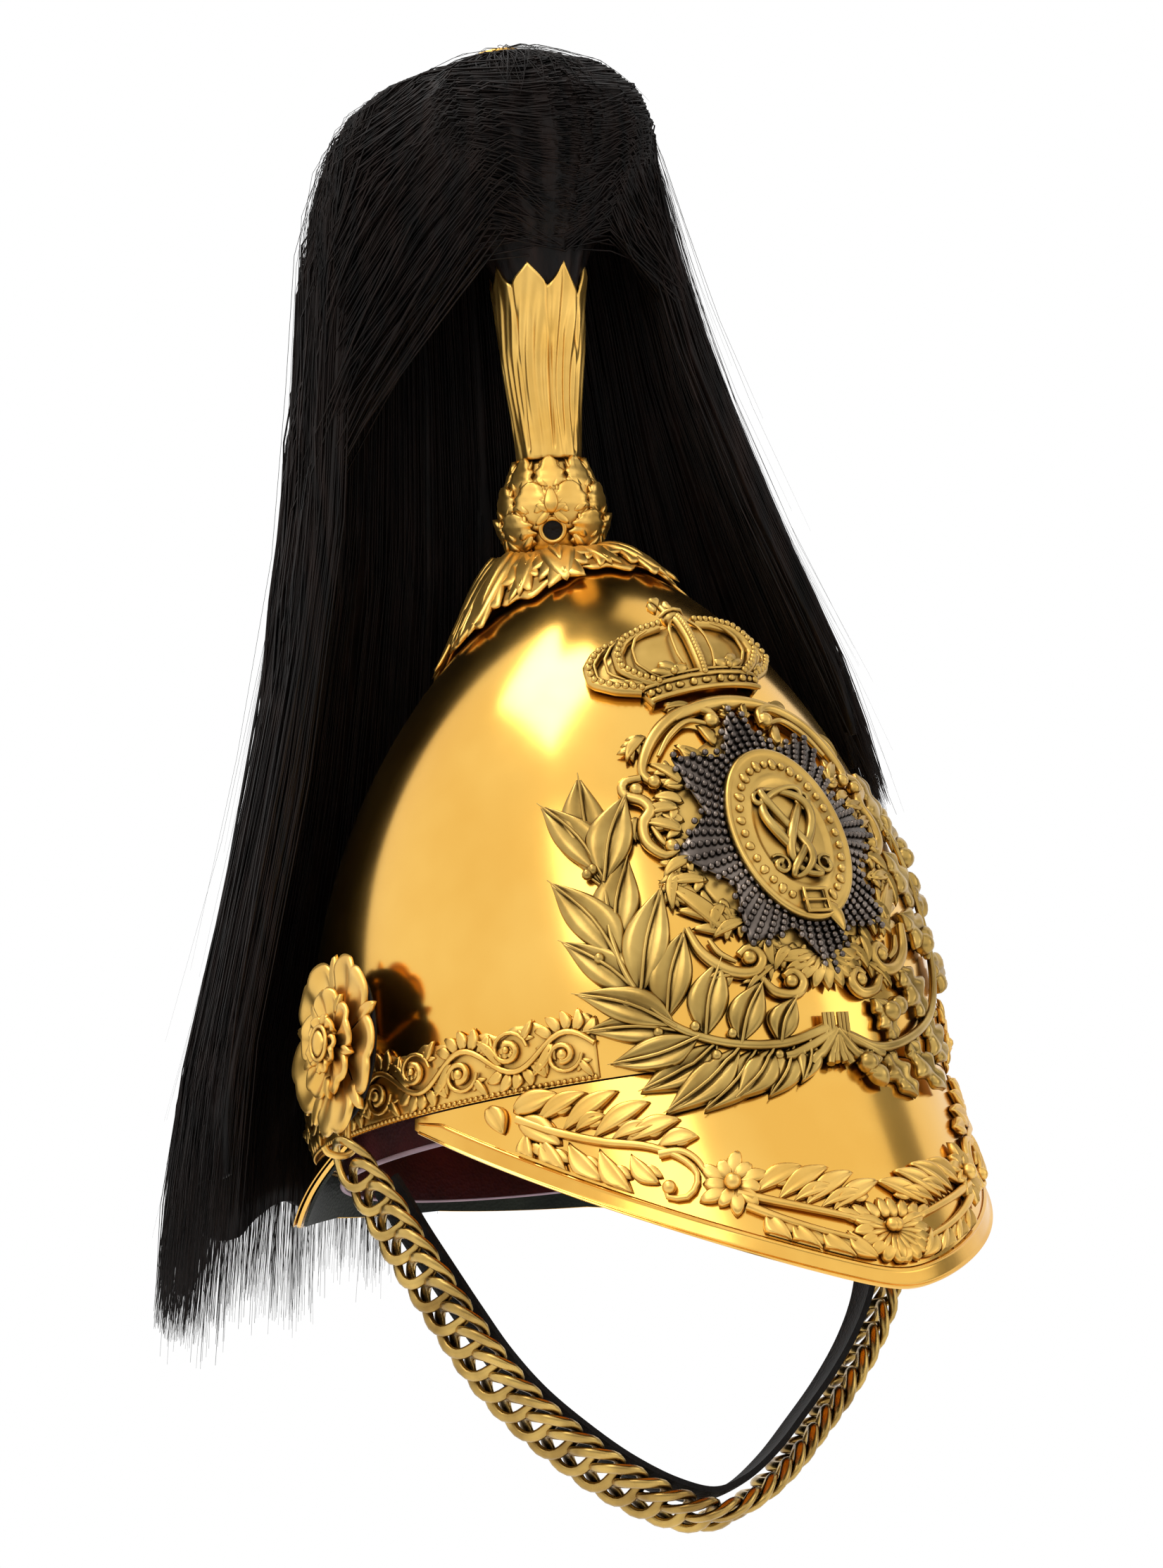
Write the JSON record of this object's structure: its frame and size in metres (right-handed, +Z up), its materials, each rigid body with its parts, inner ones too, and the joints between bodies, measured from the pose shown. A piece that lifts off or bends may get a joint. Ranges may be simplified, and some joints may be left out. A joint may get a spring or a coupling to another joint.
{
  "type": "dragoon helmet",
  "caption": "Gilt dress helmet with a peak, neck guard, laurel and oak plate, side roses, chin chain and a long horsehair plume.",
  "frame": {"origin": "middle of the head opening, level with the lower edge of the skull and its headband", "axes": "+Z up out of the head, -Y the way the wearer faces, -X the wearer's right"},
  "size_m": [0.248, 0.2804, 0.4771],
  "materials": {
    "gilt": "polished and gilt",
    "gilt_dull": "cast, gilt, dull with age",
    "gilt_satin": "stamped and gilt, satin",
    "silver_dark": "silvered, darkened",
    "chain_brass": "tarnished",
    "horsehair": "horsehair, near black",
    "leather_black": "matt",
    "leather_maroon": "matt, worn",
    "leather_green": "matt"
  },
  "bodies": {
    "root": {"skull": "gilt", "front_peak": "gilt", "peak_rim": "gilt", "neck_guard": "gilt", "guard_rim": "gilt", "peak_lining": "leather_green", "guard_lining": "leather_green", "sweatband": "leather_maroon", "headband_right": "gilt_satin", "headband_left": "gilt_satin", "plate_frame": "gilt_dull", "star": "silver_dark", "belt": "gilt_dull", "scroll_emblem": "gilt_dull", "crown": "gilt_dull", "laurel_branch": "gilt_dull", "oak_branch": "gilt_dull", "peak_spray_right": "gilt_satin", "peak_spray_left": "gilt_satin", "plume_base": "gilt_satin", "plume_ball": "gilt_satin", "plume_socket": "gilt_satin", "plume": "horsehair", "plume_rosette": "gilt_satin", "rose_right": "gilt_satin", "rose_left": "gilt_satin", "chin_chain": "chain_brass", "chin_strap": "leather_black"}
  },
  "joints": []
}
